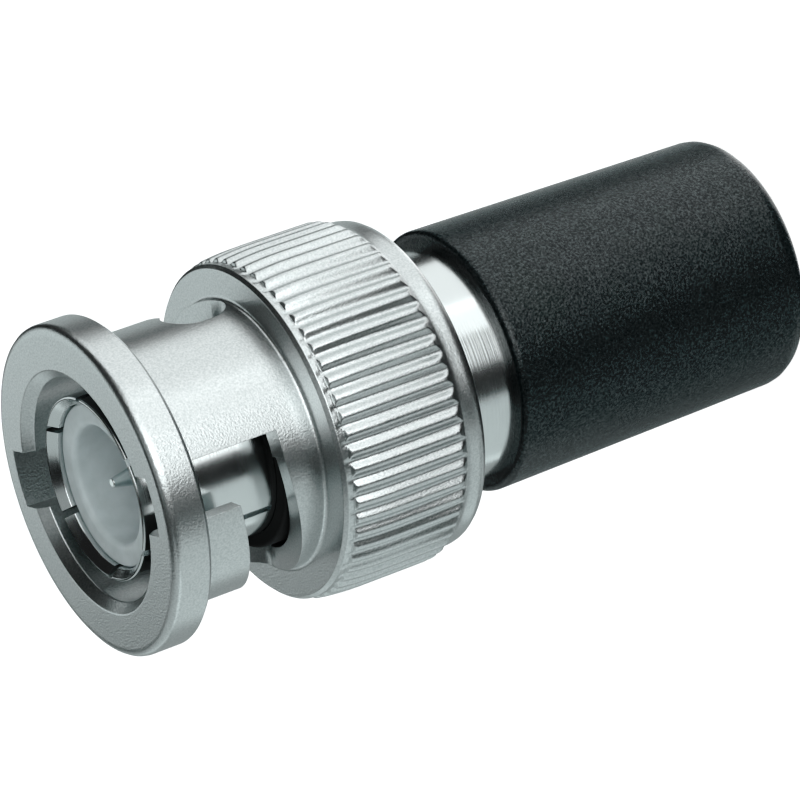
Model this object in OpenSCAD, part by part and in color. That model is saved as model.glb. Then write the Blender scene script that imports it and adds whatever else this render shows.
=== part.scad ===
// Coaxial bayonet terminator, standing on the closed end of its cap with the plug facing up.
// The axis is Z, the origin is the middle of the cap's end face, and sizes are millimetres.
// Angles run about Z, seen from the plug's front, and depths run back from the nut's front face.

/* [End cap] */
// Length of the moulded end cap
cap_len = 15.3; // [13:0.1:20]
// Diameter of the cap at its open front end
cap_front_d = 11.8; // [11.3:0.02:13]
// Diameter of the cap at its closed rear end
cap_rear_d = 11.36; // [11:0.02:12.6]
// Thickness of the closed rear end
cap_floor = 1.6; // [1:0.1:2.5]
// Depth of the pocket behind the barrel's end
cap_pocket_h = 2.4; // [1.6:0.1:3]
// Radius round the cap's rear edge
cap_rear_fillet = 0.8; // [0.2:0.1:1]
// Radius round the cap's front edge
cap_front_fillet = 0.3; // [0.1:0.05:0.6]

/* [Plug body] */
// Length of bare barrel between the cap and the nut
neck_len = 2.8; // [1.5:0.1:5]
// Diameter of the bare barrel
barrel_d = 10.4; // [10:0.05:10.5]
// Diameter of the barrel's tail inside the cap
tail_d = 8.6; // [8:0.05:8.8]
// Number of grip ridges on the tail
ridge_count = 3; // [1:1:3]
// Height of a grip ridge
ridge_h = 0.18; // [0.1:0.02:0.24]
// Diameter of the bore that holds the resistor
body_bore_d = 6; // [5.4:0.1:6.4]
// Thickness of the flange that carries the nut
body_flange_t = 1.3; // [1:0.1:1.6]
// Height of the hub between that flange and the gasket
hub_h = 1.4; // [1:0.1:1.8]

/* [Coupling nut] */
// Length of the coupling nut
nut_len = 15.3; // [14.8:0.1:18]
// Diameter of the front flange
flange_d = 14.5; // [14:0.1:16]
// Thickness of the front flange
flange_t = 1.75; // [1.3:0.05:2.2]
// Bevel on the flange's two edges
flange_edge = 0.2; // [0.05:0.05:0.4]
// Bore that the jack's shell slides into
nut_bore_d = 9.8; // [9.7:0.02:10]
// Bevel at the mouth of that bore
bore_lead = 0.42; // [0.1:0.02:0.5]
// Diameter of the waist between flange and ring
waist_d = 11.9; // [11.6:0.05:12.1]
// Depth of the shoulder that rests on the body's flange
shoulder_depth = 9.4; // [9.2:0.1:10]
// Bore behind that shoulder
cavity_d = 12.1; // [11.8:0.05:12.4]

/* [Grip ring] */
// Depth at which the ring's front face begins
ring_depth = 8.1; // [8:0.05:8.4]
// Diameter of the ring's front edge
ring_front_d = 14.7; // [14.2:0.05:14.8]
// Bevel on that edge
ring_edge = 0.15; // [0.1:0.05:0.3]
// Radius between the waist and the ring
waist_fillet = 0.15; // [0.1:0.05:0.5]
// Number of grip bars round the ring
bar_count = 60; // [40:2:66]
// Angle of the first bar
bar_phase = 1; // [0:0.5:6]
// Diameter over the bars
bars_d = 15.32; // [15.2:0.02:15.6]
// Diameter of the ring's knee, in front of the bars
knee_d = 15.1; // [14.9:0.02:15.16]
// Depth of that knee
knee_depth = 8.76; // [8.7:0.02:8.8]
// Depth at which the grooves between the bars start
bar_start = 8.85; // [8.82:0.01:9]
// Length over which the bars rise to their full height
bar_rise = 1.2; // [0.6:0.1:1.6]
// Depth at which the bars begin to run out
bar_end = 13.8; // [13:0.1:13.9]
// Length over which they run out on the rim
bar_runout = 0.4; // [0.3:0.05:0.6]
// Depth of a groove between bars
groove_h = 0.19; // [0.1:0.01:0.24]
// Width of a groove at the bars' tops
groove_w = 0.6; // [0.4:0.02:0.64]
// Width of a groove's floor
groove_floor_w = 0.14; // [0.08:0.02:0.2]
// Diameter of the plain rim behind the bars
rim_d = 14.6; // [14.2:0.05:14.8]
// Radius round the rim's rear edge
rim_fillet = 0.45; // [0.1:0.05:0.55]

/* [Bayonet slots] */
// Width of the entry channel and of the slot
slot_w = 2.5; // [2.2:0.05:2.7]
// Diameter to which the entry channel cuts into the flange
entry_d = 12.4; // [12.2:0.05:13]
// Depth of the entry channel's end
entry_depth = 6.4; // [6.2:0.05:6.6]
// Angle of the first entry channel
entry_angle = -14.5; // [-90:0.5:90]
// Turn from the entry to the detent
lock_turn = 95.5; // [80:0.5:98]
// Depth of the slot's middle line halfway along its turn
cam_depth = 5.9; // [5.8:0.05:6]
// Slope of the slot across the axis
cam_tilt = 10.1; // [8:0.1:11]
// How far the detent dips towards the front
detent_dip = 0.35; // [0.1:0.05:0.5]

/* [Contacts and insulator] */
// Diameter of the slotted contact sleeve
contact_d = 8.1; // [8.05:0.01:8.2]
// Wall of the contact sleeve
contact_wall = 0.45; // [0.35:0.05:0.5]
// Length of the sleeve in front of the gasket's seat
contact_reach = 7.55; // [7.2:0.05:7.8]
// Depth of the sleeve's root in the plug body
contact_seat = 3; // [2:0.1:3.2]
// Step in diameter from the free sleeve to its root
root_step = 0.4; // [0.36:0.02:0.5]
// Number of slits in the sleeve
slit_count = 6; // [4:1:8]
// Width of a slit
slit_w = 0.32; // [0.2:0.02:0.5]
// Angle of the first slit
slit_angle = 8; // [0:1:60]
// Solid sleeve between a slit's end and the gasket
slit_foot = 0.2; // [0.1:0.05:1]
// Bevel round the sleeve's front edges
contact_edge = 0.14; // [0.05:0.01:0.16]
// How far the insulator's face lies behind the sleeve's end
insulator_recess = 0.55; // [0.3:0.05:0.8]
// Bore of the insulator
insulator_bore_d = 5.2; // [4.9:0.05:5.4]
// Depth of that bore
insulator_bore_depth = 5.5; // [5:0.1:6]
// Seat of the insulator behind the sleeve's root
insulator_seat = 1; // [0.6:0.1:1.4]
// Bevel on the insulator's rim
insulator_edge = 0.12; // [0.05:0.01:0.2]
// Diameter of the centre pin
pin_d = 1.35; // [1.3:0.01:1.4]
// Diameter of the pin's tip
pin_tip_d = 0.4; // [0.2:0.02:0.5]
// Length of the pin's taper
pin_taper = 2.2; // [1:0.1:2.4]
// How far the tip lies behind the insulator's face
pin_recess = 0.3; // [0.1:0.05:0.6]
// Diameter of the pin's collar in the insulator
pin_collar_d = 1.72; // [1.7:0.02:1.9]
// Diameter of the pin's stop behind the collar
pin_stop_d = 2.2; // [2:0.05:2.6]
// Length of the pin's stop
pin_stop_len = 1.6; // [1:0.1:2]
// Length of the pin's solder cup behind the insulator
pin_cup_len = 1.4; // [1:0.1:2]

/* [Spring pack and gasket] */
// Thickness of the gasket
gasket_t = 1.15; // [0.9:0.05:1.3]
// Thickness of the gasket's lip over the sleeve's root
gasket_lip = 0.15; // [0.1:0.01:0.18]
// Bevel on the gasket's outer edge
gasket_edge = 0.12; // [0.05:0.01:0.2]
// Height of the space that the wave washer fills
spring_h = 1.3; // [1.2:0.05:1.4]
// Thickness of the wave washer
wave_t = 0.3; // [0.2:0.02:0.4]
// Number of waves round the washer
wave_count = 3; // [2:1:4]
// Thickness of the flat thrust washer
washer_t = 0.5; // [0.4:0.05:0.6]
// Thickness of the retaining ring
snap_t = 0.75; // [0.6:0.05:0.8]
// How far the retaining ring reaches into the nut's wall
snap_bite = 0.35; // [0.2:0.05:0.4]
// How far the retaining ring reaches in under the thrust washer
snap_reach = 0.5; // [0.4:0.05:0.55]
// Angle of the gap in the retaining ring
snap_gap = 26; // [16:1:40]

/* [Resistor] */
// Length of the resistor over its end caps
resistor_len = 7; // [6:0.1:8]
// Diameter of the resistor's rod
resistor_d = 2.4; // [2:0.05:2.8]
// Wall of the resistor's end caps
resistor_cap_wall = 0.15; // [0.1:0.01:0.25]
// Length of an end cap
resistor_cap_len = 1.4; // [1:0.1:1.8]
// Diameter of the wire leads
lead_d = 0.6; // [0.5:0.02:0.7]
// Wall of the shrink tube
shrink_wall = 0.4; // [0.2:0.05:0.6]
// How far the shrink tube passes each end of the resistor
shrink_over = 0.5; // [0.2:0.1:0.8]
// Thickness of the disc that closes the barrel
ground_t = 1.2; // [0.8:0.1:1.6]
// Wall of solder round the lead in the pin's cup
solder_wall = 0.12; // [0.08:0.01:0.16]
// Diameter of the solder joint on the disc
solder_d = 2; // [1.4:0.1:2.4]
// Height of the solder joint on the disc
solder_h = 0.7; // [0.4:0.1:0.9]

/* [Clearances] */
// Radial play of the nut round the body and the gasket
nut_play = 0.2; // [0.12:0.02:0.24]
// Radial play of the washers on the barrel and in the nut
washer_play = 0.15; // [0.1:0.01:0.2]
// Running gap between the thrust washer and the retaining ring
running_gap = 0.05; // [0.02:0.01:0.08]
// Gap between pieces that are pressed or set together
seat_gap = 0.02; // [0.01:0.005:0.03]

/* [Hidden] */
$fn = 96;

// Overshoot of cutting tools past the faces they cut
over = 1;

// Heights of the seats, from the cap's end face upwards
tail_end_z = cap_floor + cap_pocket_h;
nut_rear_z = cap_len + neck_len;
nut_front_z = nut_rear_z + nut_len;
shoulder_z = nut_front_z - shoulder_depth;
flange_rear_z = shoulder_z - body_flange_t;
washer_front_z = flange_rear_z - spring_h;
washer_rear_z = washer_front_z - washer_t;
snap_front_z = washer_rear_z - running_gap;
snap_rear_z = snap_front_z - snap_t;
gasket_seat_z = shoulder_z + hub_h;
gasket_front_z = gasket_seat_z + gasket_t;
root_front_z = gasket_front_z - gasket_lip;
contact_front_z = gasket_seat_z + contact_reach;
contact_seat_z = gasket_seat_z - contact_seat;
insulator_front_z = contact_front_z - insulator_recess;
insulator_floor_z = insulator_front_z - insulator_bore_depth;
insulator_rear_z = contact_seat_z - insulator_seat;
pin_tip_z = insulator_front_z - pin_recess;
pin_rear_z = insulator_rear_z - pin_cup_len;
ground_front_z = tail_end_z + ground_t;
resistor_mid_z = (pin_rear_z + ground_front_z) / 2;
resistor_front_z = resistor_mid_z + resistor_len / 2;
resistor_rear_z = resistor_mid_z - resistor_len / 2;
lead_end_z = tail_end_z - solder_h;

// Radii worked out from the driving diameters
nut_bore_r = nut_bore_d / 2;
waist_r = waist_d / 2;
ring_front_r = ring_front_d / 2;
bars_r = bars_d / 2;
rim_r = rim_d / 2;
cavity_r = cavity_d / 2;
snap_groove_r = cavity_r + snap_bite;
barrel_r = barrel_d / 2;
tail_r = tail_d / 2;
hub_r = nut_bore_r - nut_play;
contact_r = contact_d / 2;
root_r = contact_r + root_step / 2;
sleeve_bore_r = contact_r - contact_wall;
insulator_r = sleeve_bore_r - seat_gap;
washer_in_r = barrel_r + washer_play;
washer_out_r = cavity_r - washer_play;
lead_r = lead_d / 2;
cup_r = lead_r + solder_wall;
resistor_r = resistor_d / 2;
resistor_cap_r = resistor_r + resistor_cap_wall;

// Colours as the photo shows them
nickel = [0.72, 0.74, 0.75];
bright_nickel = [0.8, 0.82, 0.83];
white_plastic = [0.86, 0.87, 0.86];
black_plastic = [0.1, 0.11, 0.12];
black_rubber = [0.06, 0.06, 0.07];
spring_steel = [0.55, 0.56, 0.58];
brass = [0.78, 0.66, 0.36];
tin = [0.75, 0.76, 0.77];
coating = [0.36, 0.55, 0.66];

// A ring of rectangular section between two radii and two heights
module ring(in_r, out_r, low, high) {
    rotate_extrude()
        translate([in_r, low])
            square([out_r - in_r, high - low]);
}

// The waste outside a convex corner of radius r, with the corner at the origin and the
// material at negative x and positive y
module corner_waste(r) {
    difference() {
        translate([-r, -over])
            square([r + over, r + over]);
        translate([-r, r])
            circle(r);
    }
}

// Half-section of the nut, right of the axis, with depth running down from the front face
module nut_section() {
    face_r = ring_front_r - ring_edge;
    snap_depth = nut_front_z - snap_front_z;
    difference() {
        polygon([
            [nut_bore_r, -bore_lead],
            [nut_bore_r + bore_lead, 0],
            [flange_d / 2 - flange_edge, 0],
            [flange_d / 2, -flange_edge],
            [flange_d / 2, flange_edge - flange_t],
            [flange_d / 2 - flange_edge, -flange_t],
            [waist_r, -flange_t],
            [waist_r, waist_fillet - ring_depth],
            [waist_r + waist_fillet, waist_fillet - ring_depth],
            [waist_r + waist_fillet, -ring_depth],
            [face_r, -ring_depth],
            [ring_front_r, -ring_depth - ring_edge],
            [knee_d / 2, -knee_depth],
            [bars_r, -knee_depth - bar_rise],
            [bars_r, -bar_end],
            [rim_r, -bar_end - bar_runout],
            [rim_r, -nut_len],
            [cavity_r, -nut_len],
            [cavity_r, -snap_depth - snap_t - running_gap],
            [snap_groove_r, -snap_depth - snap_t - running_gap],
            [snap_groove_r, -snap_depth + running_gap],
            [cavity_r, -snap_depth + running_gap],
            [cavity_r, -shoulder_depth],
            [nut_bore_r, -shoulder_depth]
        ]);
        translate([rim_r, -nut_len])
            corner_waste(rim_fillet);
        translate([waist_r + waist_fillet, waist_fillet - ring_depth])
            circle(waist_fillet);
    }
}

// The waste of one groove between two grip bars: sloping flanks over a narrow floor, drawn twice
// as deep as the groove so that it clears the bars' tops
module grip_groove() {
    top_w = 2 * groove_w - groove_floor_w;
    translate([bars_r - groove_h, 0, -bar_end - bar_runout])
        linear_extrude(bar_end + bar_runout - bar_start)
            polygon([
                [0, -groove_floor_w / 2],
                [2 * groove_h, -top_w / 2],
                [2 * groove_h, top_w / 2],
                [0, groove_floor_w / 2]
            ]);
}

// One bayonet slot through the waist: the entry channel, the sloping cam and the detent
module bayonet_slot() {
    detent_rise = (waist_r * sin(lock_turn / 2)) * tan(cam_tilt);
    detent_depth = cam_depth + detent_rise;
    translate([0, -slot_w / 2, -entry_depth])
        intersection() {
            cube([entry_d, slot_w, entry_depth + over]);
            translate([0, 0, -over])
                cylinder(d = entry_d, h = entry_depth + 3 * over);
        }
    intersection() {
        rotate([0, 0, -lock_turn])
            translate([0, 0, -ring_depth - over])
                rotate_extrude(angle = lock_turn)
                    square([flange_d / 2, ring_depth + over]);
        rotate([0, 0, -lock_turn / 2])
            translate([waist_r, 0, -cam_depth])
                rotate([cam_tilt, 0, 0])
                    cube([2 * waist_r, 4 * waist_r, slot_w], center = true);
    }
    for (dip = [0, detent_dip])
        rotate([0, 0, -lock_turn])
            translate([0, 0, dip - detent_depth])
                rotate([0, 90, 0])
                    cylinder(d = slot_w, h = flange_d / 2);
}

// Coupling nut: flange, slotted waist and grip ring in one casting
module coupling_nut() {
    color(nickel)
        translate([0, 0, nut_front_z])
            difference() {
                rotate_extrude()
                    nut_section();
                for (side = [0, 180])
                    rotate([0, 0, entry_angle + side])
                        bayonet_slot();
                for (i = [0 : bar_count - 1])
                    rotate([0, 0, bar_phase + (i + 0.5) * 360 / bar_count])
                        grip_groove();
            }
}

// Outline of the barrel's tail with its grip ridges, grown outwards by a gap
function tail_outline(grow) =
    let(pitch = (cap_len - tail_end_z) / (ridge_count + 1))
    [
        for (i = [1 : ridge_count])
            let(z = tail_end_z + i * pitch)
            each [
                [tail_r + grow, z - 4 * ridge_h],
                [tail_r + ridge_h + grow, z],
                [tail_r + grow, z]
            ]
    ];

// Plug body: hub, flange, bare barrel and ridged tail, bored from both ends
module plug_body() {
    body_bore_r = body_bore_d / 2;
    color(bright_nickel)
        rotate_extrude()
            polygon(concat(
                [
                    [body_bore_r, tail_end_z],
                    [tail_r, tail_end_z]
                ],
                tail_outline(0),
                [
                    [tail_r, cap_len],
                    [barrel_r, cap_len],
                    [barrel_r, flange_rear_z],
                    [cavity_r - nut_play, flange_rear_z],
                    [cavity_r - nut_play, shoulder_z],
                    [hub_r, shoulder_z],
                    [hub_r, gasket_seat_z],
                    [root_r + seat_gap, gasket_seat_z],
                    [root_r + seat_gap, contact_seat_z],
                    [sleeve_bore_r, contact_seat_z],
                    [sleeve_bore_r, insulator_rear_z],
                    [body_bore_r, insulator_rear_z]
                ]
            ));
}

// Outer contact: a thin sleeve slit into spring fingers, with a root pressed into the body
module outer_contact() {
    slit_end_z = gasket_front_z + slit_foot;
    color(bright_nickel)
        difference() {
            rotate_extrude()
                polygon([
                    [sleeve_bore_r, contact_seat_z],
                    [root_r, contact_seat_z],
                    [root_r, root_front_z],
                    [contact_r, root_front_z],
                    [contact_r, contact_front_z - contact_edge],
                    [contact_r - contact_edge, contact_front_z],
                    [sleeve_bore_r + contact_edge, contact_front_z],
                    [sleeve_bore_r, contact_front_z - contact_edge]
                ]);
            for (i = [0 : slit_count - 1])
                rotate([0, 0, slit_angle + i * 360 / slit_count])
                    translate([0, -slit_w / 2, slit_end_z])
                        cube([contact_d, slit_w, contact_reach]);
        }
}

// Insulator: a tube in front, a web round the pin's collar and a counterbore for its stop
module insulator() {
    bore_r = insulator_bore_d / 2;
    collar_r = pin_collar_d / 2 + seat_gap;
    stop_r = pin_stop_d / 2 + seat_gap;
    color(white_plastic)
        rotate_extrude()
            polygon([
                [stop_r, insulator_rear_z],
                [insulator_r, insulator_rear_z],
                [insulator_r, insulator_front_z - insulator_edge],
                [insulator_r - insulator_edge, insulator_front_z],
                [bore_r + insulator_edge, insulator_front_z],
                [bore_r, insulator_front_z - insulator_edge],
                [bore_r, insulator_floor_z],
                [collar_r, insulator_floor_z],
                [collar_r, insulator_rear_z + pin_stop_len],
                [stop_r, insulator_rear_z + pin_stop_len]
            ]);
}

// Centre pin: tapered tip, contact length, collar, stop and a solder cup bored in its tail
module center_pin() {
    cup_floor_z = pin_rear_z + pin_cup_len + pin_stop_len / 2;
    color(bright_nickel)
        rotate_extrude()
            polygon([
                [0, cup_floor_z],
                [cup_r + seat_gap, cup_floor_z],
                [cup_r + seat_gap, pin_rear_z],
                [pin_collar_d / 2, pin_rear_z],
                [pin_collar_d / 2, insulator_rear_z],
                [pin_stop_d / 2, insulator_rear_z],
                [pin_stop_d / 2, insulator_rear_z + pin_stop_len],
                [pin_collar_d / 2, insulator_rear_z + pin_stop_len],
                [pin_collar_d / 2, insulator_floor_z],
                [pin_d / 2, insulator_floor_z],
                [pin_d / 2, pin_tip_z - pin_taper],
                [pin_tip_d / 2, pin_tip_z],
                [0, pin_tip_z]
            ]);
}

// Gasket: a rubber ring on the hub, with a lip that covers the step of the sleeve's root
module gasket() {
    color(black_rubber)
        rotate_extrude()
            polygon([
                [root_r + seat_gap, gasket_seat_z],
                [hub_r, gasket_seat_z],
                [hub_r, gasket_front_z - gasket_edge],
                [hub_r - gasket_edge, gasket_front_z],
                [contact_r + seat_gap, gasket_front_z],
                [contact_r + seat_gap, root_front_z + seat_gap],
                [root_r + seat_gap, root_front_z + seat_gap]
            ]);
}

// Wave washer: a flat strip bent into a ring of waves between the flange and the thrust washer
module wave_washer() {
    steps = 24 * wave_count;
    amplitude = (spring_h - wave_t) / 2 - seat_gap;
    middle_z = (flange_rear_z + washer_front_z) / 2;
    in_r = washer_in_r;
    out_r = washer_out_r - washer_play;
    corners = [[in_r, -wave_t / 2], [out_r, -wave_t / 2], [out_r, wave_t / 2], [in_r, wave_t / 2]];
    points = [
        for (i = [0 : steps - 1])
            let(turn = i * 360 / steps, rise = middle_z + amplitude * cos(wave_count * turn))
            for (corner = corners)
                [corner.x * cos(turn), corner.x * sin(turn), corner.y + rise]
    ];
    faces = [
        for (i = [0 : steps - 1])
            for (k = [0 : 3])
                let(
                    near = 4 * i,
                    far = 4 * ((i + 1) % steps),
                    next = (k + 1) % 4
                )
                each [
                    [near + k, near + next, far + next],
                    [near + k, far + next, far + k]
                ]
    ];
    color(spring_steel)
        polyhedron(points, faces);
}

// Thrust washer: a plain flat washer that slides on the barrel inside the nut
module thrust_washer() {
    color(spring_steel)
        ring(washer_in_r, washer_out_r, washer_rear_z, washer_front_z);
}

// Retaining ring: a split flat ring sprung into the nut's groove
module retaining_ring() {
    color(spring_steel)
        rotate([0, 0, 90 + snap_gap / 2])
            rotate_extrude(angle = 360 - snap_gap)
                translate([cavity_r - snap_reach, snap_rear_z])
                    square([snap_reach + snap_bite - seat_gap, snap_t]);
}

// End cap: a drafted cup moulded round the barrel's tail, with rounded edges
module end_cap() {
    body_bore_r = body_bore_d / 2;
    color(black_plastic)
        rotate_extrude()
            difference() {
                polygon([
                    [0, 0],
                    [cap_rear_d / 2, 0],
                    [cap_front_d / 2, cap_len],
                    [0, cap_len]
                ]);
                translate([cap_rear_d / 2, 0])
                    corner_waste(cap_rear_fillet);
                translate([cap_front_d / 2, cap_len])
                    mirror([0, 1])
                        corner_waste(cap_front_fillet);
                translate([0, cap_floor])
                    square([body_bore_r, cap_pocket_h + over]);
                polygon(concat(
                    [
                        [0, tail_end_z - seat_gap],
                        [tail_r + seat_gap, tail_end_z - seat_gap]
                    ],
                    tail_outline(seat_gap),
                    [
                        [tail_r + seat_gap, cap_len + over],
                        [0, cap_len + over]
                    ]
                ));
            }
}

// Ground plug: the disc pressed into the barrel's end, with a hole for the rear lead
module ground_plug() {
    color(brass)
        ring(lead_r + seat_gap, body_bore_d / 2 - seat_gap, tail_end_z, ground_front_z);
}

// Resistor rod, between the floors of its end caps
module resistor_core() {
    color(coating)
        translate([0, 0, resistor_rear_z + resistor_cap_wall])
            cylinder(r = resistor_r, h = resistor_len - 2 * resistor_cap_wall);
}

// A drawn metal cup over one end of the rod, with its floor at z = 0
module resistor_cap() {
    color(tin)
        difference() {
            cylinder(r = resistor_cap_r, h = resistor_cap_len);
            translate([0, 0, resistor_cap_wall])
                cylinder(r = resistor_r + seat_gap, h = resistor_cap_len);
        }
}

module resistor_cap_front() {
    translate([0, 0, resistor_front_z])
        mirror([0, 0, 1])
            resistor_cap();
}

module resistor_cap_rear() {
    translate([0, 0, resistor_rear_z])
        resistor_cap();
}

// A straight wire lead between two heights
module lead(low, high) {
    color(tin)
        translate([0, 0, low])
            cylinder(r = lead_r, h = high - low, $fn = 32);
}

module resistor_lead_front() {
    lead(resistor_front_z, pin_rear_z + pin_cup_len);
}

module resistor_lead_rear() {
    lead(lead_end_z, resistor_rear_z);
}

// Shrink tube round the resistor and a little past its ends
module resistor_sleeve() {
    tube_r = resistor_cap_r + seat_gap;
    color(black_rubber)
        ring(tube_r, tube_r + shrink_wall, resistor_rear_z - shrink_over, resistor_front_z + shrink_over);
}

// Solder that fills the pin's cup round the front lead
module solder_front() {
    color(tin)
        ring(lead_r + seat_gap, cup_r, pin_rear_z, pin_rear_z + pin_cup_len);
}

// Solder joint of the rear lead on the ground plug: a cone that runs out on the wire
module solder_rear() {
    color(tin)
        rotate_extrude()
            polygon([
                [lead_r + seat_gap, tail_end_z],
                [lead_r + seat_gap, lead_end_z],
                [lead_r + solder_wall, lead_end_z],
                [solder_d / 2, tail_end_z]
            ]);
}

coupling_nut();
plug_body();
outer_contact();
insulator();
center_pin();
gasket();
wave_washer();
thrust_washer();
retaining_ring();
end_cap();
ground_plug();
resistor_core();
resistor_cap_front();
resistor_cap_rear();
resistor_lead_front();
resistor_lead_rear();
resistor_sleeve();
solder_front();
solder_rear();
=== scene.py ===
import math

import bpy
import numpy as np
from mathutils import Matrix, Vector


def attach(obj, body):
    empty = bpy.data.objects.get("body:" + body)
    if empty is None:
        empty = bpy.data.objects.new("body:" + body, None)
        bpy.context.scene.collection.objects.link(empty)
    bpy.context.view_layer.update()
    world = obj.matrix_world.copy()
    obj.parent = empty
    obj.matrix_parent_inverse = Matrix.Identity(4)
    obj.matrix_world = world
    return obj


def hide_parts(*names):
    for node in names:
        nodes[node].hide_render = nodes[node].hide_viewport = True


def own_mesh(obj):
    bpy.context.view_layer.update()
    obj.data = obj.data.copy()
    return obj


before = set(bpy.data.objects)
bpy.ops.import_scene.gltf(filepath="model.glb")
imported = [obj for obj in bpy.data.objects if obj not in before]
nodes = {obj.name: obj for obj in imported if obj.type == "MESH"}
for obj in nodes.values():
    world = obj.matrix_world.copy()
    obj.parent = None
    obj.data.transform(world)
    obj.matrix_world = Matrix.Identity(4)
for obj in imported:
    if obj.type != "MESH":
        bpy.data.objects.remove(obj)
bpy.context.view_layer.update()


# Plug body: a barrel turned from brass bar and nickel plated bright. Its flange carries the
# nut, its ridged tail is moulded into the cap, and only the neck between the two shows.

# Sizes are in millimetres: radii from the connector's axis and heights above the cap's end.
MM = 0.001
seat_gap = 0.02
body_bore, tail_radius, neck_radius = 3.0, 4.3, 5.2
flange_radius, hub_radius = 5.85, 4.7
sleeve_seat, insulator_seat = 4.27, 3.6
tail_end, cap_front = 4.0, 15.3
insulator_foot, sleeve_foot = 21.4, 22.4
flange_back, flange_front, hub_end = 22.7, 24.0, 25.4


def linear(hex_colour):
    """The linear RGBA of an sRGB hex colour."""
    channels = np.array([int(hex_colour[i:i + 2], 16) for i in (1, 3, 5)]) / 255
    light = np.where(channels <= 0.04045, channels / 12.92, ((channels + 0.055) / 1.055) ** 2.4)
    return (*light.tolist(), 1.0)


def add(tree, kind, inputs=None, stops=(), **settings):
    """Adds a shader node with its settings and its ramp's stops (position, hex colour), and links
    or sets the inputs that are given."""
    made = tree.nodes.new("ShaderNode" + kind)
    for key, value in settings.items():
        setattr(made, key, value)
    for at, (position, colour) in enumerate(stops):
        made.color_ramp.elements[at].position = position
        made.color_ramp.elements[at].color = linear(colour)
    for key, value in (inputs or {}).items():
        if isinstance(value, bpy.types.NodeSocket):
            tree.links.new(value, made.inputs[key])
        else:
            made.inputs[key].default_value = value
    return made


def new_material(name):
    """An empty node material, its tree and its Object coordinates."""
    material = bpy.data.materials.new(name)
    material.use_nodes = True
    material.node_tree.nodes.clear()
    place = add(material.node_tree, "TexCoord").outputs["Object"]
    return material, material.node_tree, place


def close_material(tree, shader):
    """Puts a shader on the material's surface."""
    add(tree, "OutputMaterial", {"Surface": shader.outputs[0]})


def rounded(corners, steps=5):
    """Turns corners (radius, height, rounding) into an outline: each corner becomes the arc that
    touches both its lines, drawn from its centre by sweeping from one touching point to the other.
    A point just outside each end of an arc keeps the flats beside it flat in the shading."""
    corners = np.array(corners, float)
    point, fillet = corners[:, :2], corners[:, 2:3]
    back = np.roll(point, 1, 0) - point
    ahead = np.roll(point, -1, 0) - point
    back /= np.linalg.norm(back, axis=1, keepdims=True)
    ahead /= np.linalg.norm(ahead, axis=1, keepdims=True)
    half = np.arccos(np.clip((back * ahead).sum(1, keepdims=True), -1, 1)) / 2
    middle = back + ahead
    middle /= np.maximum(np.linalg.norm(middle, axis=1, keepdims=True), 1e-9)
    centre = point + middle * fillet / np.maximum(np.sin(half), 1e-6)
    reach = fillet / np.maximum(np.tan(half), 1e-6)
    first = (point + back * reach - centre)[:, None]
    last = (point + ahead * reach - centre)[:, None]
    sweep = (math.pi - 2 * half)[:, None]
    t = np.linspace(0, 1, steps + 1)[None, :, None]
    spokes = (np.sin((1 - t) * sweep) * first + np.sin(t * sweep) * last) / np.sin(sweep)
    arc = centre[:, None] + spokes
    hold = fillet / 4
    ends = [arc[:, :1] + (back * hold)[:, None], arc, arc[:, -1:] + (ahead * hold)[:, None]]
    line = np.concatenate(ends, 1).reshape(-1, 2)
    apart = np.linalg.norm(line - np.roll(line, 1, 0), axis=1) > 1e-5
    return line[apart]


def put_mesh(name, points, faces, crease=32):
    """A smooth-shaded mesh object from points in millimetres. Edges that turn by more degrees than
    the crease stay sharp."""
    mesh = bpy.data.meshes.new(name)
    mesh.from_pydata((np.asarray(points) * MM).tolist(), [], faces)
    mesh.polygons.foreach_set("use_smooth", np.ones(len(mesh.polygons), bool))
    mesh.set_sharp_from_angle(angle=math.radians(crease))
    mesh.update()
    piece = bpy.data.objects.new(name, mesh)
    bpy.context.scene.collection.objects.link(piece)
    return piece


def round_faces(rows, columns):
    """Quads of a grid that closes on itself both ways, row by row round the section."""
    row, column = np.meshgrid(np.arange(rows), np.arange(columns), indexing="ij")
    next_row, next_column = (row + 1) % rows, (column + 1) % columns
    corners = [row * columns + column, row * columns + next_column,
               next_row * columns + next_column, next_row * columns + column]
    return np.stack(corners, -1).reshape(-1, 4).tolist()


def turned(name, section, columns=256):
    """A closed section (radius, height) carried round the Z axis: each point becomes a circle."""
    turn = np.linspace(0, 2 * math.pi, columns, endpoint=False)
    radius, height = section[:, :1], section[:, 1:]
    points = np.stack([radius * np.cos(turn), radius * np.sin(turn), height + 0 * turn], -1)
    return put_mesh(name, points.reshape(-1, 3), round_faces(len(section), columns))


def ridges(radius):
    """Corners of three barbs on a radius: each rises as a cone and drops back in a step."""
    rise, run = 0.18, 0.72
    return [
        corner
        for foot in (6.1, 8.93, 11.75)
        for corner in ((radius, foot, 0), (radius + rise, foot + run, 0), (radius, foot + run, 0))]


def coat(piece, material):
    """Gives a piece one material in place of any that it has."""
    piece.data.materials.clear()
    piece.data.materials.append(material)


def dress(piece, material, body, slot, *cad_nodes):
    """Gives a piece its material and body, and hides the CAD nodes that it stands for. The slot is
    not used.
    """
    coat(piece, material)
    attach(piece, body)
    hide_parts(*cad_nodes)


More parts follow.
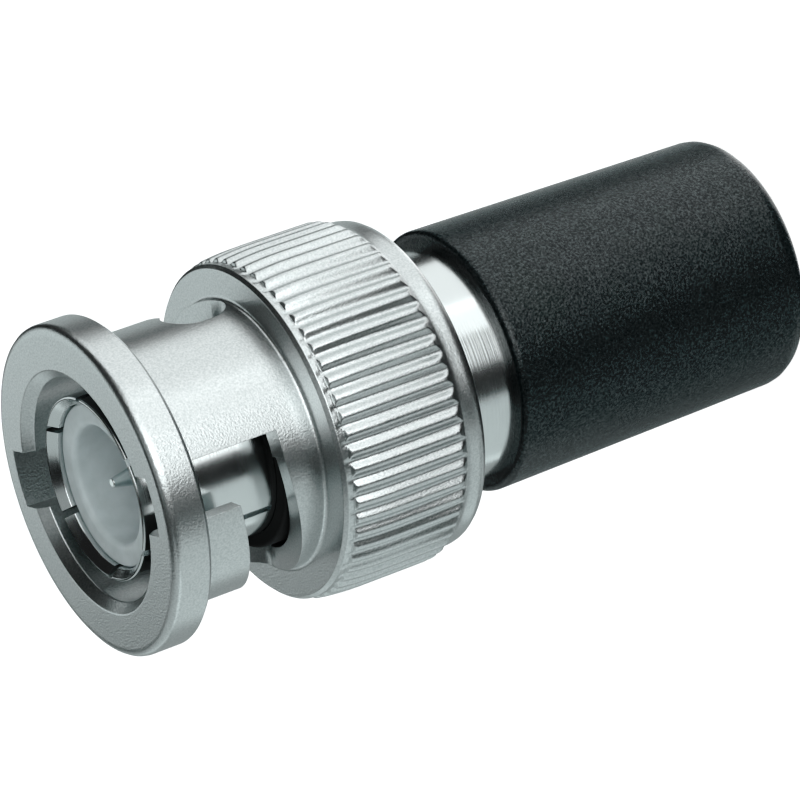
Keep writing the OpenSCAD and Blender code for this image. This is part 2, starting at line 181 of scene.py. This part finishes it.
# Bright nickel on turned brass mirrors its surroundings along the axis, and the tool's feed
# leaves rings, so highlights spread a little up and down. The rings are drawn at 0.09 mm.
bright_nickel, tree, place = new_material("bright_nickel_on_turned_brass")
rings = add(tree, "Mapping", {"Vector": place, "Scale": (0, 0, 1)}).outputs[0]
feed = add(tree, "TexNoise", {"Vector": rings, "Scale": 1 / (0.09 * MM), "Detail": 2.0}).outputs["Fac"]
haze = add(tree, "TexNoise", {"Vector": place, "Scale": 1 / (0.6 * MM), "Detail": 3.0}).outputs["Fac"]
gloss = add(tree, "MapRange", {"Value": haze, "To Min": 0.16, "To Max": 0.24}).outputs[0]
relief = add(tree, "Bump", {"Height": feed, "Strength": 0.3, "Distance": 0.012 * MM}).outputs[0]
close_material(tree, add(tree, "BsdfPrincipled", {
    "Base Color": linear("#d3d7d7"), "Metallic": 1.0, "Roughness": gloss, "Normal": relief}))

plug_body = turned("plug_body_turning", rounded([
    (body_bore, tail_end, 0.1), (tail_radius, tail_end, 0.15), *ridges(tail_radius),
    (tail_radius, cap_front, 0), (neck_radius, cap_front, 0), (neck_radius, flange_back, 0.1),
    (flange_radius, flange_back, 0.08), (flange_radius, flange_front, 0.08),
    (hub_radius, flange_front, 0.08), (hub_radius, hub_end, 0.08), (sleeve_seat, hub_end, 0.05),
    (sleeve_seat, sleeve_foot, 0), (insulator_seat, sleeve_foot, 0.05),
    (insulator_seat, insulator_foot, 0), (body_bore, insulator_foot, 0.05)]))
dress(plug_body, bright_nickel, "plug", "bright_nickel", "plug_body")


# Outer contact: a thin brass sleeve slit into six spring fingers and pressed into the body.
# The slits are saw cuts, and the fingers' tips are rounded to run into the jack.

foot_radius, foot_end = sleeve_seat - seat_gap, 26.4
sleeve_radius, sleeve_end = 4.05, 32.95
lead_in, lead_depth = 0.32, 0.37
slits, first_slit, slit_width, slit_foot = 6, 8, 0.32, 26.75


def swept(name, rings):
    """A closed volume through rings of points (x, y, z): quads join each ring to the next, and the
    first and the last are closed flat. A ring runs anticlockwise, seen from the ring after it."""
    rings = np.asarray(rings, float)
    count, size = rings.shape[:2]
    ring, point = np.meshgrid(np.arange(count - 1), np.arange(size), indexing="ij")
    here, beside = ring * size + point, ring * size + (point + 1) % size
    sides = np.stack([here, beside, beside + size, here + size], -1).reshape(-1, 4).tolist()
    end = np.arange(size)
    ends = [end[::-1].tolist(), (end + (count - 1) * size).tolist()]
    return put_mesh(name, rings.reshape(-1, 3), sides + ends)


def prism(name, outline, low, high):
    """A flat outline (x, y), run anticlockwise, carried straight up Z from low to high."""
    return swept(name, [np.c_[outline, np.full(len(outline), height)] for height in (low, high)])


def turn_about_z(points, degrees):
    """Points (x, y) turned about the axis."""
    c, s = math.cos(math.radians(degrees)), math.sin(math.radians(degrees))
    return np.asarray(points, float) @ np.array([[c, s], [-s, c]])


def cut(piece, tools, crease=32):
    """Takes the tools' volume out of a piece and removes the tools."""
    for tool in tools:
        step = piece.modifiers.new(tool.name, "BOOLEAN")
        step.operation, step.solver, step.object = "DIFFERENCE", "MANIFOLD", tool
    bpy.context.view_layer.update()
    whole = piece.data
    result = piece.evaluated_get(bpy.context.evaluated_depsgraph_get())
    piece.data = bpy.data.meshes.new_from_object(result)
    piece.modifiers.clear()
    bpy.data.meshes.remove(whole)
    piece.data.polygons.foreach_set("use_smooth", np.ones(len(piece.data.polygons), bool))
    piece.data.set_sharp_from_angle(angle=math.radians(crease))
    for tool in tools:
        bpy.data.meshes.remove(tool.data)


outer_contact = turned("outer_contact_sleeve", rounded([
    (insulator_seat, sleeve_foot, 0.05), (foot_radius, sleeve_foot, 0.05), (foot_radius, foot_end, 0.03),
    (sleeve_radius, foot_end, 0), (sleeve_radius, sleeve_end, 0.1),
    (insulator_seat + lead_in, sleeve_end, 0.05), (insulator_seat, sleeve_end - lead_depth, 0.1)]))
saw = np.array([(3, -1), (5, -1), (5, 1), (3, 1)]) * (1, slit_width / 2)
cut(outer_contact, [
    prism(f"slit_saw_{k}", turn_about_z(saw, first_slit + 360 / slits * k), slit_foot, sleeve_end + 1)
    for k in range(slits)])
dress(outer_contact, bright_nickel, "plug", "bright_nickel", "outer_contact")


# Insulator: a white fluoropolymer turning that holds the pin in the middle of the sleeve.
# It is a deep cup in front and is bored through its web for the pin's collar and stop.

insulator_radius, insulator_end = insulator_seat - seat_gap, 32.4
cup_radius, cup_floor = 2.6, 26.9
collar_hole, stop_hole, stop_end = 0.88, 1.12, 23.0

# Natural PTFE is waxy: light sinks in and comes out soft, over a faint gloss with fine tool rings.
white_ptfe, tree, place = new_material("natural_ptfe_turned")
cloud = add(tree, "TexNoise", {"Vector": place, "Scale": 1 / (0.9 * MM), "Detail": 3.0}).outputs["Fac"]
tone = add(tree, "ValToRGB", {"Fac": cloud}, [(0.35, "#d5dfe0"), (0.7, "#e3ecee")]).outputs["Color"]
rings = add(tree, "Mapping", {"Vector": place, "Scale": (0, 0, 1)}).outputs[0]
feed = add(tree, "TexNoise", {"Vector": rings, "Scale": 1 / (0.12 * MM), "Detail": 2.0}).outputs["Fac"]
relief = add(tree, "Bump", {"Height": feed, "Strength": 0.2, "Distance": 0.01 * MM}).outputs[0]
close_material(tree, add(tree, "BsdfPrincipled", {
    "Base Color": tone, "Roughness": 0.42, "IOR": 1.38, "Normal": relief,
    "Subsurface Weight": 0.25, "Subsurface Radius": (1.0, 1.0, 1.0), "Subsurface Scale": 0.3 * MM}))

insulator = turned("insulator_turning", rounded([
    (stop_hole, insulator_foot, 0.05), (insulator_radius, insulator_foot, 0.1),
    (insulator_radius, insulator_end, 0.1), (cup_radius, insulator_end, 0.24),
    (cup_radius, cup_floor, 0.2), (collar_hole, cup_floor, 0.03),
    (collar_hole, stop_end, 0), (stop_hole, stop_end, 0)]))
dress(insulator, white_ptfe, "plug", "white_plastic", "insulator")


# Centre pin: a brass pin turned to a blunt point, with a collar and a stop that hold it in the
# insulator and a cup bored in its tail for the resistor's lead.

# An outline that ends on the axis stays a hair off it, so that its faces keep an area.
axis = 0.001
pin_radius, collar_radius, stop_radius = 0.675, collar_hole - seat_gap, stop_hole - seat_gap
pin_tail, solder_cup, solder_cup_floor = 20.0, 0.44, 20.8
taper_start, tip_radius, tip_end = 29.9, 0.2, 32.1

# A contact pin is burnished after plating, so it mirrors the insulator round it sharply, and its
# blunt point catches a bright dot. A faint haze keeps it from looking like glass.
burnished_nickel, tree, place = new_material("burnished_nickel_on_brass_pin")
haze = add(tree, "TexNoise", {"Vector": place, "Scale": 1 / (0.3 * MM), "Detail": 2.0}).outputs["Fac"]
gloss = add(tree, "MapRange", {"Value": haze, "To Min": 0.04, "To Max": 0.09}).outputs[0]
close_material(tree, add(tree, "BsdfPrincipled", {
    "Base Color": linear("#dfe3e3"), "Metallic": 1.0, "Roughness": gloss}))

center_pin = turned("center_pin_turning", rounded([
    (axis, solder_cup_floor, 0), (solder_cup, solder_cup_floor, 0.02), (solder_cup, pin_tail, 0.02),
    (collar_radius, pin_tail, 0.04), (collar_radius, insulator_foot, 0),
    (stop_radius, insulator_foot, 0.05), (stop_radius, stop_end, 0.05), (collar_radius, stop_end, 0),
    (collar_radius, cup_floor, 0.03), (pin_radius, cup_floor, 0.03), (pin_radius, taper_start, 0.5),
    (tip_radius, tip_end, 0.06), (axis, tip_end, 0)]), 96)
dress(center_pin, burnished_nickel, "plug", "bright_nickel", "center_pin")


# Gasket: a black rubber ring on the hub, whose lip covers the step at the foot of the sleeve.
# It is moulded and pushed on, and the jack's end presses on it.

gasket_end = 26.55
lip_radius, lip_foot = sleeve_radius + seat_gap, foot_end + seat_gap

# Moulded nitrile rubber is dull and dark, with a faint bloom that lightens it in patches.
black_rubber, tree, place = new_material("moulded_nitrile_rubber")
bloom = add(tree, "TexNoise", {"Vector": place, "Scale": 1 / (0.5 * MM), "Detail": 4.0}).outputs["Fac"]
tone = add(tree, "ValToRGB", {"Fac": bloom}, [(0.3, "#060707"), (0.8, "#0d0e0f")]).outputs["Color"]
grit = add(tree, "TexNoise", {"Vector": place, "Scale": 1 / (0.08 * MM), "Detail": 2.0}).outputs["Fac"]
relief = add(tree, "Bump", {"Height": grit, "Strength": 0.3, "Distance": 0.01 * MM}).outputs[0]
close_material(tree, add(tree, "BsdfPrincipled", {
    "Base Color": tone, "Roughness": 0.7, "IOR": 1.5, "Normal": relief}))

gasket = turned("gasket_ring", rounded([
    (sleeve_seat, hub_end, 0.05), (hub_radius, hub_end, 0.08), (hub_radius, gasket_end, 0.15),
    (lip_radius, gasket_end, 0.04), (lip_radius, lip_foot, 0), (sleeve_seat, lip_foot, 0)]))
dress(gasket, black_rubber, "plug", "black_rubber", "gasket")


# Spring pack: a wave washer, a flat thrust washer and a split ring in the nut's groove, all of
# spring strip. They hold the nut on the body and let it ride forward against the waves.

# Rolled spring steel is grey with fine streaks from the rolls.
spring_steel, tree, place = new_material("rolled_spring_steel")
streak = add(tree, "Mapping", {"Vector": place, "Scale": (1, 0.12, 1)}).outputs[0]
rolls = add(tree, "TexNoise", {"Vector": streak, "Scale": 1 / (0.12 * MM), "Detail": 3.0}).outputs["Fac"]
gloss = add(tree, "MapRange", {"Value": rolls, "To Min": 0.24, "To Max": 0.4}).outputs[0]
relief = add(tree, "Bump", {"Height": rolls, "Strength": 0.2, "Distance": 0.01 * MM}).outputs[0]
close_material(tree, add(tree, "BsdfPrincipled", {
    "Base Color": linear("#9da1a5"), "Metallic": 1.0, "Roughness": gloss, "Normal": relief}))


def waved_ring(name, in_r, out_r, middle, thick, swing, waves, columns=192):
    """A flat strip bent into a ring whose height swings as a cosine with so many waves a turn."""
    turn = np.linspace(0, 2 * math.pi, columns, endpoint=False)
    half = thick / 2
    strip = np.array([(in_r, -half), (out_r, -half), (out_r, half), (in_r, half)])
    radius = strip[:, :1]
    height = strip[:, 1:] + middle + swing * np.cos(waves * turn)
    points = np.stack([radius * np.cos(turn), radius * np.sin(turn), height], -1)
    return put_mesh(name, points.reshape(-1, 3), round_faces(len(strip), columns))


wave_washer = waved_ring("wave_washer_strip", 5.35, 5.75, middle=22.05, thick=0.3, swing=0.48, waves=3)
dress(wave_washer, spring_steel, "plug", "spring_steel", "wave_washer")
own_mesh(wave_washer)
for name in ("thrust_washer", "retaining_ring"):
    coat(nodes[name], spring_steel)


# Coupling nut: one zinc die casting, nickel plated. A flange in front, a waist with two bayonet
# slots through it, and a ring of raised bars to grip, all with the soft edges of a casting.

front, rear = 33.4, 18.1
nut_bore, spring_bore = 4.9, 6.05
ring_groove, groove_low, groove_high = 6.4, 20.05, 20.9
waist_radius, waist_back, waist_front = 5.95, 25.3, 31.58
nut_flange, nut_collar, nut_rim = 7.25, 7.41, 7.33
mouth_bevel, flange_bevel, collar_bevel = 0.42, 0.18, 0.16
bars, first_bar, bar_crest, bar_pitch = 60, 1.0, 7.66, 0.8
crown_drop, crown_run, crown_level = 0.11, 1.8, 10.5
groove_depth, deepening, deeper_from, deeper_run = 0.19, 0.37, 12, 2
casting_crease = 45
slot_width, slot_inside, slot_outside = 2.5, 3.5, 6.55
first_entry, entry_wall, entry_depth = -14.5, 6.2, 6.4
lock_turn, cam_depth, cam_tilt, detent_rise = 95.5, 5.9, math.radians(10.1), 0.35

# Satin nickel over a casting keeps the die's fine grain: each facet of it mirrors a little aside,
# so light and dark meet in a sparkling edge. The grain is drawn at 0.09 mm.
satin_nickel, tree, place = new_material("satin_nickel_on_zinc_casting")
grain = add(tree, "TexNoise", {"Vector": place, "Scale": 1 / (0.09 * MM), "Detail": 1.0}).outputs["Fac"]
tone = add(tree, "ValToRGB", {"Fac": grain}, [(0.3, "#bcc1c1"), (0.7, "#d3d6d6")]).outputs["Color"]
edge = add(tree, "Bevel", {"Radius": 0.04 * MM}, samples=4).outputs[0]
relief = add(tree, "Bump", {
    "Height": grain, "Strength": 0.28, "Distance": 0.03 * MM, "Normal": edge}).outputs[0]
close_material(tree, add(tree, "BsdfPrincipled", {
    "Base Color": tone, "Metallic": 1.0, "Roughness": 0.3, "Normal": relief}))

outside = rounded([
    (nut_bore, front - mouth_bevel, 0.08), (nut_bore, flange_front, 0.05), (spring_bore, flange_front, 0.05),
    (spring_bore, groove_high, 0), (ring_groove, groove_high, 0),
    (ring_groove, groove_low, 0), (spring_bore, groove_low, 0.05),
    (spring_bore, rear, 0.12), (nut_rim, rear, 0.45), (nut_collar, waist_back - collar_bevel, 0.06),
    (nut_collar - collar_bevel, waist_back, 0.06), (waist_radius, waist_back, 0.15),
    (waist_radius, waist_front, 0.22), (nut_flange - flange_bevel, waist_front, 0.06),
    (nut_flange, waist_front + flange_bevel, 0.06), (nut_flange, front, 0.36),
    (nut_bore + mouth_bevel, front, 0.08)], 4)

# The grip's own outline, as (distance behind the front, radius): the plain collar with a fine
# groove and the step where the bars start, the crown, and the fall at the bars' rear ends.
# The rows of the mesh lie close together where it bends, and go in after the rim's round corner.
step = [(8.54, nut_collar), (8.57, 7.385), (8.6, 7.385), (8.64, 7.5), (8.69, 7.54), (8.76, 7.555)]
crown = [(9.0, 7.58), (9.3, 7.61), (9.6, 7.635), (9.96, 7.652), (crown_level, bar_crest), (13.6, bar_crest)]
fall = [
    (13.75, 7.652), (13.85, 7.62), (13.95, 7.54), (14.05, 7.45), (14.15, 7.38), (14.25, 7.35), (14.4, 7.34)]
step_rows = np.r_[8.46, 8.52, np.linspace(8.55, 8.65, 6), 8.68, 8.72, 8.78, 8.86]
crown_rows = np.r_[9.0, 9.3, 9.6, 9.96, crown_level, 11.5, 12.6, 13.5]
fall_rows = np.r_[13.7, 13.78, np.linspace(13.85, 14.15, 6), 14.22, 14.3, 14.45]
behind = np.r_[step_rows, crown_rows, fall_rows]
grip_radius = np.interp(behind, *np.array(step + crown + fall).T)
on_rim = (outside[:, 0] > nut_rim - 0.2) & (outside[:, 1] < rear + 1)
rim_end = np.flatnonzero(on_rim)[-1] + 1
grip = np.c_[grip_radius, front - behind][::-1]
section = np.concatenate([outside[:rim_end], grip, outside[rim_end:]])
gripped = slice(rim_end, rim_end + len(grip))


def barred(name, section, gripped):
    """A closed section carried round Z, with grooves sunk between bars in its gripped rows: there
    the radius is the smaller of the section's own and of a bar's profile, which is flat on top
    and falls in a straight, rounded flank to the groove's floor. Before it is level, the crest is
    lower by the square of the way to there, and the floor follows it. Towards the bars' rear ends
    the floor falls a little more."""
    flank, fallen = np.array([(0.08, 0.02), (0.13, 0.14), (0.21, 0.5), (0.3, 0.87), (0.345, 0.98)]).T
    aside = np.r_[-bar_pitch / 2, -flank[::-1], 0, flank]
    sunk = np.tile(np.r_[1, fallen[::-1], 0, fallen], bars)
    pitch = 2 * math.pi / bars
    turn = aside / bar_pitch * pitch + math.radians(first_bar) + pitch * np.arange(bars)[:, None]
    turn = turn.ravel()
    radius = np.repeat(section[:, :1], len(turn), 1)
    height = section[:, 1:]
    inward = front - height[gripped]
    crest = bar_crest - crown_drop * np.clip((crown_level - inward) / crown_run, 0, 1) ** 2
    depth = groove_depth * (1 + deepening * np.clip((inward - deeper_from) / deeper_run, 0, 1))
    radius[gripped] = np.minimum(radius[gripped], crest - depth * sunk)
    points = np.stack([radius * np.cos(turn), radius * np.sin(turn), height + 0 * turn], -1)
    return put_mesh(name, points.reshape(-1, 3), round_faces(len(section), len(turn)), casting_crease)


def entry_tool(name, degrees):
    """The entry channel's volume: parallel sides and an outer wall that follows the flange."""
    side = math.asin(slot_width / 2 / entry_wall)
    turn = np.linspace(-side, side, 17)
    inner = [(slot_inside, slot_width / 2), (slot_inside, -slot_width / 2)]
    outline = np.r_[inner, np.c_[entry_wall * np.cos(turn), entry_wall * np.sin(turn)]]
    return prism(name, turn_about_z(outline, degrees), front - entry_depth, front + 1)


def cam_tool(name, degrees, inside=4.2):
    """The cam's volume: the space between two parallel planes, tilted across the axis, over the
    lock's turn. A plane's height is its middle plus the distance along the tangent times the tilt."""
    sweep = np.radians(np.linspace(-lock_turn / 2, lock_turn / 2, 97))[:, None]
    radius = np.array([inside, slot_outside, slot_outside, inside])
    face = np.array([1, 1, -1, -1]) * slot_width / 2 / math.cos(cam_tilt)
    height = front - cam_depth + face + radius * np.sin(sweep) * math.tan(cam_tilt)
    angle = sweep + math.radians(degrees - lock_turn / 2)
    return swept(name, np.stack([radius * np.cos(angle), radius * np.sin(angle), height], -1))


def detent_tool(name, degrees, depth):
    """The round end of a slot: a cylinder whose axis points outwards from the connector's axis."""
    turn = np.linspace(0, 2 * math.pi, 64, endpoint=False)
    across = slot_width / 2 * np.cos(turn)
    height = front - depth + slot_width / 2 * np.sin(turn)
    return swept(name, [
        np.c_[turn_about_z(np.c_[0 * turn + reach, across], degrees), height]
        for reach in (slot_inside, slot_outside)])


coupling_nut = barred("coupling_nut_casting", section, gripped)
cam_climb = waist_radius * math.sin(math.radians(lock_turn / 2)) * math.tan(cam_tilt)
end_depth = cam_depth + cam_climb
tools = []
for side, entry in (("a", first_entry), ("b", first_entry + 180)):
    lock = entry - lock_turn
    tools += [
        entry_tool("entry_" + side, entry), cam_tool("cam_" + side, entry),
        detent_tool("end_" + side, lock, end_depth),
        detent_tool("detent_" + side, lock, end_depth - detent_rise)]
cut(coupling_nut, tools, casting_crease)
dress(coupling_nut, satin_nickel, "nut", "nickel_casting", "coupling_nut")


# Resistor: a lacquered ceramic rod with pressed end caps and wire leads, in a shrink tube. One
# lead is soldered into the pin's cup and the other to the brass disc that closes the barrel.

# Lacquer is a glossy coat whose colour is a little uneven where it was dipped.
lacquer, tree, place = new_material("dipped_resistor_lacquer")
dip = add(tree, "TexNoise", {"Vector": place, "Scale": 1 / (0.8 * MM), "Detail": 2.0}).outputs["Fac"]
tone = add(tree, "ValToRGB", {"Fac": dip}, [(0.0, "#5f86a0"), (1.0, "#86abc0")]).outputs["Color"]
close_material(tree, add(tree, "BsdfPrincipled", {"Base Color": tone, "Roughness": 0.2, "IOR": 1.5}))

# Tin plate and solder are soft silver with a cloudy frost.
tin, tree, place = new_material("dull_tin_plate")
frost = add(tree, "TexNoise", {"Vector": place, "Scale": 1 / (0.25 * MM), "Detail": 3.0}).outputs["Fac"]
gloss = add(tree, "MapRange", {"Value": frost, "To Min": 0.22, "To Max": 0.48}).outputs[0]
close_material(tree, add(tree, "BsdfPrincipled", {
    "Base Color": linear("#c6c8c9"), "Metallic": 1.0, "Roughness": gloss}))

# Shrink tube is dull black plastic, pulled tight with a faint waviness.
shrink, tree, place = new_material("shrunk_polyolefin_tube")
pull = add(tree, "TexNoise", {"Vector": place, "Scale": 1 / (0.7 * MM), "Detail": 2.0}).outputs["Fac"]
relief = add(tree, "Bump", {"Height": pull, "Strength": 0.4, "Distance": 0.05 * MM}).outputs[0]
close_material(tree, add(tree, "BsdfPrincipled", {
    "Base Color": linear("#17181a"), "Roughness": 0.5, "IOR": 1.5, "Normal": relief}))

# Turned brass that is left bare darkens unevenly in the air.
brass, tree, place = new_material("turned_bare_brass")
stain = add(tree, "TexNoise", {"Vector": place, "Scale": 1 / (0.9 * MM), "Detail": 4.0}).outputs["Fac"]
tone = add(tree, "ValToRGB", {"Fac": stain}, [(0.0, "#a5823f"), (1.0, "#d3b566")]).outputs["Color"]
close_material(tree, add(tree, "BsdfPrincipled", {"Base Color": tone, "Metallic": 1.0, "Roughness": 0.28}))

for name, material in (
        ("resistor_core", lacquer), ("resistor_sleeve", shrink), ("ground_plug", brass),
        ("resistor_cap_front", tin), ("resistor_cap_rear", tin),
        ("resistor_lead_front", tin), ("resistor_lead_rear", tin),
        ("solder_front", tin), ("solder_rear", tin)):
    coat(nodes[name], material)


# End cap: black plastic moulded over the barrel's ridged tail, with a slight draft so that it
# leaves the mould, rounded edges and the mould's spark-eroded texture.

cap_radius, cap_end_radius = 5.9, 5.68
mould_radius, mould_floor = tail_radius + seat_gap, tail_end - seat_gap
hollow_floor = 1.6

# Spark-eroded moulded plastic is matt and sooty, and its fine pits glint as light specks in the
# highlight. The pits are drawn at 0.11 mm.
black_plastic, tree, place = new_material("spark_textured_black_plastic")
pits = add(tree, "TexNoise", {
    "Vector": place, "Scale": 1 / (0.11 * MM), "Detail": 3.0, "Roughness": 0.7}).outputs["Fac"]
patch = add(tree, "TexNoise", {"Vector": place, "Scale": 1 / (1.6 * MM), "Detail": 2.0}).outputs["Fac"]
tone = add(tree, "ValToRGB", {"Fac": pits}, [(0.45, "#020d0f"), (0.75, "#253031")]).outputs["Color"]
gloss = add(tree, "MapRange", {"Value": patch, "To Min": 0.24, "To Max": 0.3}).outputs[0]
glint = add(tree, "MapRange", {
    "Value": pits, "From Min": 0.4, "From Max": 0.68, "To Min": 0.3, "To Max": 0.85}).outputs[0]
relief = add(tree, "Bump", {"Height": pits, "Strength": 0.52, "Distance": 0.04 * MM}).outputs[0]
close_material(tree, add(tree, "BsdfPrincipled", {
    "Base Color": tone, "Roughness": gloss, "IOR": 1.5, "Specular IOR Level": glint, "Normal": relief}))

end_cap = turned("end_cap_moulding", rounded([
    (axis, 0, 0), (cap_end_radius, 0, 0.8), (cap_radius, cap_front, 0.3), (mould_radius, cap_front, 0),
    *ridges(mould_radius)[::-1], (mould_radius, mould_floor, 0), (body_bore, mould_floor, 0.05),
    (body_bore, hollow_floor, 0.3), (axis, hollow_floor, 0)]))
dress(end_cap, black_plastic, "plug", "black_plastic", "end_cap")


# Stage: a plain pale floor under the cap's end. Reflections and shadows pass through it, so that
# the plated metal mirrors the light panels below it and not the floor, as in a cut-out product shot.

# Matt paper is an even near-white, with fibres that hardly show and a glow that drowns shade.
pale, tree, place = new_material("pale_paper_floor")
fibre = add(tree, "TexNoise", {"Vector": place, "Scale": 1 / (4 * MM), "Detail": 3.0}).outputs["Fac"]
tone = add(tree, "ValToRGB", {"Fac": fibre}, [(0.0, "#f4f5f5"), (1.0, "#f8f9f9")]).outputs["Color"]
close_material(tree, add(tree, "BsdfPrincipled", {
    "Base Color": tone, "Roughness": 0.9, "Emission Color": linear("#ffffff"), "Emission Strength": 0.9}))
floor_reach = 3000
floor_corners = np.array([(-1, -1, 0), (1, -1, 0), (1, 1, 0), (-1, 1, 0)]) * floor_reach
floor = put_mesh("floor", floor_corners, [[0, 1, 2, 3]])
floor.data.materials.append(pale)
floor.visible_glossy = False
floor.visible_shadow = False

# A curved black sheet below the floor's level stands before the table's light panels and keeps most
# of their light off the cap's lower side: painted shade there. The sheet glows faintly though it is no
# lamp, and that glow is what the cap's lower side mirrors in the panels' place. The floor hides it from
# the camera.
# Painted shade: black with a faint glow of its own, not a lit grey card.
shade_card, tree, _ = new_material("glowing_shade_sheet")
close_material(tree, add(tree, "BsdfPrincipled", {
    "Base Color": linear("#000000"), "Roughness": 1.0,
    "Emission Color": linear("#f3ffff"), "Emission Strength": 0.3}))
card_radius, card_low, card_high, card_steps = 60, -42, -20, 28
turn = np.radians(np.linspace(-170, -30, card_steps + 1))
rim = card_radius * np.stack([np.cos(turn), np.sin(turn)], -1)
at = np.arange(card_steps)
strips = np.stack([at, at + 1, at + card_steps + 2, at + card_steps + 1], -1).tolist()
card = put_mesh("shade_card", np.r_[np.c_[rim, 0 * turn + card_low], np.c_[rim, 0 * turn + card_high]], strips)
card.data.materials.append(shade_card)

studio = bpy.data.worlds.new("studio")
bpy.context.scene.world = studio
studio.use_nodes = True
studio.node_tree.nodes["Background"].inputs["Color"].default_value = linear("#ffffff")
studio.node_tree.nodes["Background"].inputs["Strength"].default_value = 0.03


# Studio light: panels stand round the part at these bearings and heights, in degrees, as its sides
# mirror them: three overhead in the picture, three for the table below, two at the back, and two
# before the plug's mouth, one of them high and nearly on its axis. Widths and depths are in metres.

def put_light(light, bearing, height, target, away=350):
    """Stands a light so far from a target, in millimetres, at a bearing and a height, facing it."""
    stand = bpy.data.objects.new(light.name, light)
    b, h = math.radians(bearing), math.radians(height)
    towards = Vector((math.cos(h) * math.cos(b), math.cos(h) * math.sin(b), math.sin(h)))
    stand.location = (Vector(target) + towards * away) * MM
    stand.rotation_euler = towards.to_track_quat("Z", "Y").to_euler()
    bpy.context.scene.collection.objects.link(stand)
    return stand


middle_height = 17
for name, bearing, height, width, depth, strength, tint in (
        ("overhead_edge", 3, 9, 0.215, 0.51, 2.2, "#fbffff"),
        ("overhead_near", 34, 2, 0.2, 0.58, 1.5, "#fbffff"),
        ("overhead_far", 78, -22, 0.38, 0.5, 1.22, "#fbffff"),
        ("table_near", -85, -22, 0.49, 0.5, 0.72, "#f3ffff"),
        ("table_front", -112, 30, 0.72, 0.36, 0.55, "#f3ffff"),
        ("table_far", -155, -22, 0.49, 0.5, 0.34, "#f3ffff"),
        ("back", 152, -37, 0.22, 0.28, 0.5, "#f3ffff"),
        ("back_low", 140, -62, 0.25, 0.2, 1.4, "#ffffff"),
        ("front", 160, 34, 0.25, 0.26, 0.85, "#f4ffff"),
        ("top", 5, 72, 0.17, 0.25, 0.36, "#f4ffff")):
    panel = bpy.data.lights.new(name + "_panel", "AREA")
    panel.shape, panel.size, panel.size_y = "RECTANGLE", width, depth
    panel.energy = strength * math.pi * width * depth
    panel.color = linear(tint)[:3]
    put_light(panel, bearing, height, (0, 0, middle_height))

# Two narrow spots shine into the plug's mouth and light the insulator. Metal doesn't mirror them.
for name, bearing, height, energy in (("spot_near", 0, 50, 1.3), ("spot_far", -145, 20, 4.8)):
    spot = bpy.data.lights.new(name, "SPOT")
    spot.energy, spot.shadow_soft_size = energy, 0.02
    spot.spot_size, spot.spot_blend = math.radians(3), 0.5
    put_light(spot, bearing, height, (0, 0, front)).visible_glossy = False


# Camera: where the photo was taken from, worked out from the circles that show in it. The
# connector's axis leans 27.4 degrees from the picture and 19.9 degrees from its level line.

picture_pixels, lens_pixels, sensor = 800, 5000, 36
mouth_right, mouth_down, mouth_distance = 84.5, 493.1, 207.1
lean, slope = math.radians(27.40), math.radians(19.87)
along = Vector((math.cos(slope) * math.cos(lean), -math.sin(slope) * math.cos(lean), math.sin(lean)))
near = Vector((math.cos(slope) * math.sin(lean), -math.sin(slope) * math.sin(lean), -math.cos(lean)))
over = Vector((-math.sin(slope), -math.cos(slope), 0))
aside, below = mouth_right - picture_pixels / 2, mouth_down - picture_pixels / 2
mouth = Vector((aside / lens_pixels, below / lens_pixels, 1)) * mouth_distance
camera = bpy.data.objects.new("camera", bpy.data.cameras.new("camera"))
camera.data.sensor_width = sensor
camera.data.lens = sensor * lens_pixels / picture_pixels
camera.data.clip_start, camera.data.clip_end = 0.01, 20
eye = Vector((-mouth.dot(near), -mouth.dot(over), mouth.dot(along) + front)) * MM
right = Vector((near.x, over.x, -along.x))
up = -Vector((near.y, over.y, -along.y))
ahead = Vector((near.z, over.z, -along.z))
camera.matrix_world = Matrix.Translation(eye) @ Matrix((right, up, -ahead)).transposed().to_4x4()
bpy.context.scene.collection.objects.link(camera)
bpy.context.scene.camera = camera

# The photo's contrast: a short toe, for all colours together, that takes deep shadows down and
# leaves all else as it is.
view = bpy.context.scene.view_settings
view.view_transform = "Standard"
view.use_curve_mapping = True
for shade, shown in ((0.03, 0.012), (0.08, 0.06), (0.16, 0.16)):
    view.curve_mapping.curves[3].points.new(shade, shown).handle_type = "VECTOR"
view.curve_mapping.update()
